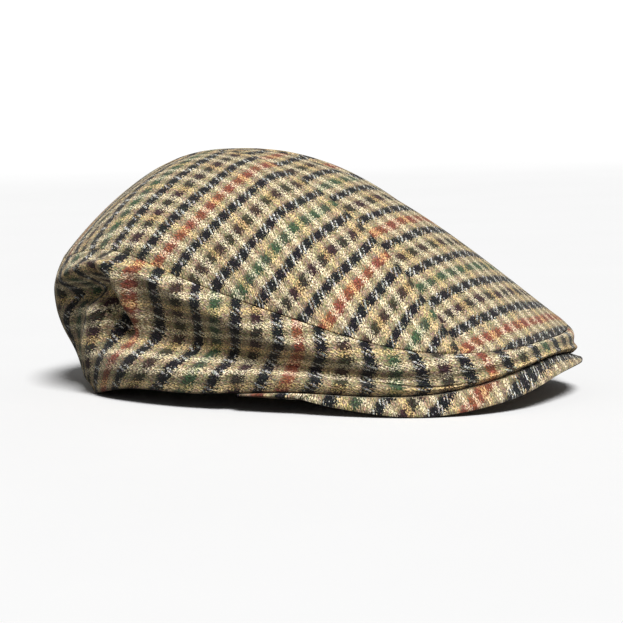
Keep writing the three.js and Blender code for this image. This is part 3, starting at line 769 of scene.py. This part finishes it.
class Nodes:
    """Short words for adding and joining nodes in one tree."""

    def __init__(self, tree):
        self.tree = tree

    def add(self, kind, **values):
        node = self.tree.nodes.new(f"ShaderNode{kind}")
        for name, value in values.items():
            setattr(node, name, value)
        return node

    def put(self, socket, value):
        if isinstance(value, bpy.types.NodeSocket):
            self.tree.links.new(value, socket)
        elif value is not None:
            socket.default_value = value

    def set(self, node, values):
        for name, value in values.items():
            self.put(node.inputs[name], value)

    def maths(self, operation, *values):
        node = self.add("Math", operation=operation)
        for socket, value in zip(node.inputs, values):
            self.put(socket, value)
        return node.outputs[0]

    def times(self, a, b):
        return self.maths("MULTIPLY", a, b)

    def join(self, x, y, z=0.0):
        node = self.add("CombineXYZ")
        for socket, value in zip(node.inputs, (x, y, z)):
            self.put(socket, value)
        return node.outputs[0]

    def noise(self, vector, scale, detail=2.0, rough=0.5):
        node = self.add("TexNoise")
        self.set(node, {"Vector": vector, "Scale": scale, "Detail": detail, "Roughness": rough})
        return node

    def parts(self, colour):
        node = self.add("SeparateXYZ")
        self.put(node.inputs[0], colour)
        return node.outputs

    def spread(self, value, low, high, to_low=0.0, to_high=1.0):
        node = self.add("MapRange", interpolation_type="SMOOTHSTEP")
        for socket, item in zip(node.inputs, (value, low, high, to_low, to_high)):
            self.put(socket, item)
        return node.outputs[0]

    def blend(self, share, a, b, kind="MIX"):
        node = self.add("Mix", data_type="RGBA", blend_type=kind)
        self.put(node.inputs[0], share)
        self.put(node.inputs[6], a)
        self.put(node.inputs[7], b)
        return node.outputs[2]

    def bands(self, value, rows, colours):
        """A ramp with one sharp-edged band for each row of yarn and width, going round and
        round. The first band's middle is at 0."""
        total = sum(row[1] for row in rows)
        node = self.add("ValToRGB")
        start = self.maths("ADD", value, rows[0][1] / 2)
        self.put(node.inputs[0], self.maths("FRACT", self.maths("DIVIDE", start, total)))
        ramp = node.color_ramp
        ramp.interpolation = "CONSTANT"
        while len(ramp.elements) < len(rows):
            ramp.elements.new(1.0)
        ends = np.cumsum([0] + [row[1] for row in rows]) / total
        for element, end in zip(ramp.elements, ends):
            element.position = end
        for element, (name, _, showing) in zip(ramp.elements, rows):
            element.color = (*colours[name], showing)
        return node


def yarn_colours(settings):
    """The yarns' colours by name."""
    return {name: linear(getattr(settings, name)) for name in YarnColours.__annotations__}


def tweed_group(settings):
    """The checked tweed as a node group. Warp and weft colours come from two rows of bands.
    The warp shows, with specks of weft between its hairs and light ticks over the navy. Place
    is where it is on the flat cloth, in millimetres."""
    tree = bpy.data.node_groups.new("checked_tweed", "ShaderNodeTree")
    sockets = {
        "INPUT": (("Place", "Vector"), ("Weft Start", "Float"), ("Twill Slope", "Float")),
        "OUTPUT": (("Colour", "Color"), ("Height", "Float"), ("Roughness", "Float")),
    }
    for way, rows in sockets.items():
        for name, kind in rows:
            tree.interface.new_socket(name, in_out=way, socket_type=f"NodeSocket{kind}")
    n = Nodes(tree)
    given = tree.nodes.new("NodeGroupInput")
    result = tree.nodes.new("NodeGroupOutput")
    warp_run, weft_run, _ = n.parts(given.outputs["Place"])
    weft_run = n.maths("ADD", weft_run, n.times(given.outputs["Weft Start"], WEFT_STEP))
    slope = given.outputs["Twill Slope"]
    flat = n.join(warp_run, weft_run)
    along = n.maths("SUBTRACT", warp_run, n.times(weft_run, slope))
    over = n.maths("ADD", weft_run, n.times(warp_run, slope))

    def twill_noise(along_fineness, over_fineness, level, detail, rough):
        """Noise stretched along the twill."""
        place = n.join(n.times(along, along_fineness), n.times(over, over_fineness), level)
        return n.noise(place, 1.0, detail, rough)

    def offset(run, *parts):
        """A value moved by noises: each is centred on 0 and multiplied by its own amount."""
        for value, amount in parts:
            run = n.maths("ADD", run, n.times(n.maths("SUBTRACT", value, 0.5), amount))
        return run

    # The cloth wanders a little, and its yarns are hairy along the twill.
    wander = n.parts(n.noise(flat, *WANDER).outputs["Color"])
    hair = twill_noise(*HAIR)
    hair_parts = n.parts(hair.outputs["Color"])
    fine = n.noise(flat, *FINE)
    fine_parts = n.parts(fine.outputs["Color"])
    speck = twill_noise(*SPECK)
    colours = yarn_colours(settings)
    yarns = []
    for index, (run, rows) in enumerate(((warp_run, WARP_BANDS), (weft_run, WEFT_BANDS))):
        moved = offset(
            run, (wander[index], BAND_SHIFTS["wander"]), (hair_parts[index], BAND_SHIFTS["hair"]),
            (fine_parts[index], BAND_SHIFTS["fine"]),
        )
        yarns.append(n.bands(moved, rows, colours))
    warp, weft = yarns

    # The weft shows as specks between the warp's hairs, softened by them.
    soft = n.blend(SOFTENING, weft.outputs[0], warp.outputs[0])
    specks = offset(warp.outputs[1], (speck.outputs["Fac"], SPECK_RANGE))
    cloth = n.blend(n.spread(specks, *SPECK_EDGES), warp.outputs[0], soft)

    # Over the navy, light weft shows as ticks along the twill, of uneven width and broken.
    twill_at = offset(over, (fine_parts[2], TICK_SHIFTS["fine"]), (wander[2], TICK_SHIFTS["wander"]))
    twill = n.maths("FRACT", n.maths("DIVIDE", twill_at, TWILL_PITCH))
    ridge = n.maths("ABSOLUTE", n.maths("SUBTRACT", twill, 0.5))
    half_tick = offset(TICK["half"], (hair_parts[2], TICK["hair"]), (fine_parts[0], TICK["fine"]))
    tick = n.spread(n.maths("SUBTRACT", half_tick, ridge), -TICK["soft"], TICK["soft"])
    tick = n.times(tick, weft.outputs[1])
    tick = n.times(tick, n.maths("LESS_THAN", warp.outputs[1], TICK["dense"]))
    cloth = n.blend(tick, cloth, (*colours["tick"], 1.0))

    # The yarns are lighter and darker in places, and flecked with other colours.
    noises = {"hair": hair, "fine": fine, "speck": speck}
    shade = offset(SHADE["middle"], *((noise.outputs["Fac"], SHADE[name]) for name, noise in noises.items()))
    shade = n.maths("MAXIMUM", shade, SHADE["least"])
    cloth = n.blend(1.0, cloth, n.join(shade, shade, shade), "MULTIPLY")
    cloth = n.blend(FLECK_SHARE, cloth, twill_noise(*FLECK).outputs["Color"], "OVERLAY")

    # The relief has two ribs for each tick, and the hairs.
    wave = n.maths("SINE", n.times(twill_at, 2 * math.pi / (TWILL_PITCH / 2)))
    height = n.times(wave, RELIEF["twill"])
    for name in ("hair", "fine"):
        height = n.maths("ADD", height, n.times(noises[name].outputs["Fac"], RELIEF[name]))
    rough = n.spread(fine.outputs["Fac"], *WOOL_ROUGHNESS)
    n.set(result, {"Colour": cloth, "Height": height, "Roughness": rough})
    return tree


def tweed_material(name, settings, weft_start, twill_slope):
    """Checked tweed for one piece, with the weft's bands starting at their own place."""
    group = bpy.data.node_groups.get("checked_tweed") or tweed_group(settings)
    material = bpy.data.materials.new(name)
    material.use_nodes = True
    tree = material.node_tree
    tree.nodes.clear()
    n = Nodes(tree)
    cloth = n.add("UVMap", uv_map="cloth")
    tweed = n.add("Group", node_tree=group)
    n.set(tweed, {"Place": cloth.outputs[0], "Weft Start": weft_start, "Twill Slope": twill_slope})
    bump = n.add("Bump")
    n.set(bump, {"Height": tweed.outputs["Height"], **BUMP})
    wool = n.add("BsdfPrincipled")
    n.set(wool, {"Base Color": tweed.outputs["Colour"], "Roughness": tweed.outputs["Roughness"]})
    n.set(wool, {"Normal": bump.outputs[0], "Specular IOR Level": WOOL_SPECULAR, **SHEEN})
    out = n.add("OutputMaterial")
    n.put(out.inputs["Surface"], wool.outputs[0])
    return material


def floor_material(settings):
    """Plain pale studio paper, with a very faint mottle. Only bounce of its light falls back
    on the cap, which keeps the cap's underside dark."""
    material = bpy.data.materials.new("studio_paper")
    material.use_nodes = True
    n = Nodes(material.node_tree)
    paper = material.node_tree.nodes["Principled BSDF"]
    place = n.add("TexCoord")
    mottle = n.noise(place.outputs["Object"], *MOTTLE)
    shade = n.spread(mottle.outputs["Fac"], *MOTTLE_SHADE)
    seen = n.add("LightPath").outputs["Is Camera Ray"]
    shade = n.times(shade, n.spread(seen, 0.0, 1.0, settings.bounce, 1.0))
    base = n.blend(1.0, (*linear(settings.paper), 1.0), n.join(shade, shade, shade), "MULTIPLY")
    n.put(paper.inputs["Base Color"], base)
    paper.inputs["Roughness"].default_value = PAPER_ROUGHNESS
    return material


# ---------------- settings
def colour_property(name, default):
    """A yarn or paper colour that a user can change."""
    return FloatVectorProperty(
        name=name, description=f"{name} by eye", subtype="COLOR_GAMMA", size=3, min=0, max=1, default=default
    )


def size_property(name, description, default, least):
    """A size in millimetres, or a plain strength, that a user can change."""
    return FloatProperty(name=name, description=description, default=default, min=least)


def divisions_property(where, default):
    """How many parts a piece is divided into, one way."""
    return IntProperty(name=f"Parts {where}", description=f"How many parts {where}", default=default, min=12)


class CapSizes(bpy.types.PropertyGroup):
    """Sizes of the cap's cloth, in millimetres, and how finely it is divided."""

    cloth_thickness: size_property("Cloth", "Thickness of the cloth walls in mm", 2.0, 0.5)
    peak_thickness: size_property("Peak", "Thickness of the covered peak in mm", 3.0, 1)
    seam_depth: size_property("Seam depth", "How far the cloth sinks into a seam in mm", 0.35, 0)
    seam_width: size_property("Seam width", "How wide a seam's groove is in mm", 2.2, 0.1)
    drape: size_property("Drape", "How strongly the band's stripes slant with the drape", 1.0, 0)
    band_columns: divisions_property("round the side band", 520)
    band_rows: divisions_property("up the side band", 84)
    centre_rows: divisions_property("along the centre panel", 250)
    centre_columns: divisions_property("across the centre panel", 72)
    side_rows: divisions_property("along a side panel", 210)
    side_columns: divisions_property("across a side panel", 96)
    peak_columns: divisions_property("round the peak", 260)
    peak_rows: divisions_property("across the peak", 52)


class YarnColours(bpy.types.PropertyGroup):
    """Colours of the yarns."""

    navy: colour_property("Navy warp", (0.085, 0.09, 0.115))
    cream: colour_property("Cream warp", (0.86, 0.77, 0.60))
    aubergine: colour_property("Aubergine warp", (0.30, 0.20, 0.17))
    rust: colour_property("Rust warp", (0.80, 0.44, 0.31))
    brown: colour_property("Brown warp", (0.34, 0.27, 0.17))
    green: colour_property("Green warp", (0.37, 0.48, 0.33))
    plum: colour_property("Plum weft", (0.22, 0.15, 0.19))
    teal: colour_property("Teal weft", (0.17, 0.22, 0.18))
    gold: colour_property("Gold weft", (0.87, 0.75, 0.53))
    light: colour_property("Light weft", (0.92, 0.87, 0.74))
    tick: colour_property("Weft ticks", (0.80, 0.80, 0.78))


class StageSettings(bpy.types.PropertyGroup):
    """The floor and the light."""

    paper: colour_property("Paper", (1.0, 1.0, 1.0))
    top_light: size_property("Top light", "Strength of the soft light from above", 3.75, 0)
    fill: size_property("Fill", "Strength of the light from all round", 0.11, 0)
    bounce: size_property("Bounce", "Part of the floor's light thrown back", 0.15, 0)


# ---------------- operators
class CAP_OT_crown(bpy.types.Operator):
    """Make the three panels of the top"""

    bl_idname = "cap.crown"
    bl_label = "Make the crown"

    def execute(self, context):
        scene = context.scene
        sizes, yarns = scene.cap_sizes, scene.cap_yarns
        build_centre_panel(sizes, yarns)
        build_side_panel("crown_right", -1, sizes, yarns)
        build_side_panel("crown_left", 1, sizes, yarns)
        return {"FINISHED"}


class CAP_OT_side_band(bpy.types.Operator):
    """Make the side band"""

    bl_idname = "cap.side_band"
    bl_label = "Make the side band"

    def execute(self, context):
        build_side_band(context.scene.cap_sizes, context.scene.cap_yarns)
        return {"FINISHED"}


class CAP_OT_peak(bpy.types.Operator):
    """Make the peak"""

    bl_idname = "cap.peak"
    bl_label = "Make the peak"

    def execute(self, context):
        build_peak(context.scene.cap_sizes, context.scene.cap_yarns)
        return {"FINISHED"}


class CAP_OT_stage(bpy.types.Operator):
    """Make the floor, the light and the camera"""

    bl_idname = "cap.stage"
    bl_label = "Make the stage"

    def execute(self, context):
        settings = context.scene.cap_stage
        build_floor(settings)
        build_lights(settings)
        build_camera()
        return {"FINISHED"}


def build_floor(settings):
    """A round floor that curves up far away: over radius and turn,
    height = rise * smooth_step((radius - flat) / curve)^power."""
    radius = np.concatenate([[0.0], *FLOOR_RINGS])
    turn = np.linspace(0, 2 * np.pi, FLOOR_SPOKES, endpoint=False)
    radius, turn = np.meshgrid(radius, turn, indexing="ij")
    height = FLOOR["rise"] * smooth_step((radius - FLOOR["flat"]) / FLOOR["curve"]) ** FLOOR["power"]
    points = xyz(radius * np.cos(turn), radius * np.sin(turn), height)
    index = np.arange(radius.size).reshape(radius.shape)
    quads = grid_quads(np.hstack([index, index[:, :1]]))
    mesh = bpy.data.meshes.new("floor")
    mesh.from_pydata(points.reshape(-1, 3), [], quads)
    mesh.shade_smooth()
    mesh.materials.append(floor_material(settings))
    new_object("floor", mesh)


def build_lights(settings):
    """A wide soft light from above and in front, and an even fill from all round."""
    data = bpy.data.lights.new("top_light", "SUN")
    data.energy = settings.top_light
    data.angle = math.radians(LIGHT_WIDTH)
    light = new_object("top_light", data)
    light.rotation_mode = "QUATERNION"
    light.rotation_quaternion = Vector(LIGHT_FALLS).to_track_quat("-Z", "Y")
    world = bpy.data.worlds.new("studio")
    world.use_nodes = True
    background = world.node_tree.nodes["Background"]
    background.inputs["Color"].default_value = (1, 1, 1, 1)
    background.inputs["Strength"].default_value = settings.fill
    scene = bpy.context.scene
    scene.world = world
    scene.view_settings.view_transform = "Standard"


def build_camera():
    """The camera, standing and aimed as CAMERA says."""
    data = bpy.data.cameras.new("camera")
    data.lens = CAMERA["lens"]
    data.sensor_width = CAMERA["sensor"]
    camera = new_object("camera", data)
    place, aim = Vector(CAMERA["stand"]) * MM, Vector(CAMERA["aim"]) * MM
    turn = (aim - place).to_track_quat("-Z", "Y").to_matrix().to_4x4()
    roll = Matrix.Rotation(math.radians(-CAMERA["roll"]), 4, "Z")
    camera.matrix_world = Matrix.Translation(place) @ turn @ roll
    bpy.context.scene.camera = camera


class CAP_PT_panel(bpy.types.Panel):
    """The cap's pieces and settings in the sidebar"""

    bl_idname = "CAP_PT_panel"
    bl_label = "Flat cap"
    bl_space_type = "VIEW_3D"
    bl_region_type = "UI"
    bl_category = "Flat cap"

    def draw(self, context):
        layout = self.layout
        for operator in OPERATORS:
            layout.operator(operator.bl_idname)
        for settings, kind in SETTINGS.items():
            box = layout.box()
            for name in kind.__annotations__:
                box.prop(getattr(context.scene, settings), name)


SETTINGS = {"cap_sizes": CapSizes, "cap_yarns": YarnColours, "cap_stage": StageSettings}
OPERATORS = (CAP_OT_crown, CAP_OT_side_band, CAP_OT_peak, CAP_OT_stage)
CLASSES = (*SETTINGS.values(), *OPERATORS, CAP_PT_panel)


def register():
    """Registers the classes and hangs the settings on the scene."""
    for item in CLASSES:
        bpy.utils.register_class(item)
    for name, kind in SETTINGS.items():
        setattr(bpy.types.Scene, name, PointerProperty(type=kind))


def unregister():
    """Takes the settings off the scene and unregisters the classes."""
    for name in SETTINGS:
        delattr(bpy.types.Scene, name)
    for item in reversed(CLASSES):
        bpy.utils.unregister_class(item)


def main():
    """Makes every piece and the stage."""
    register()
    bpy.ops.cap.crown()
    bpy.ops.cap.side_band()
    bpy.ops.cap.peak()
    bpy.ops.cap.stage()
    bpy.context.view_layer.update()


if __name__ == "__main__":
    main()
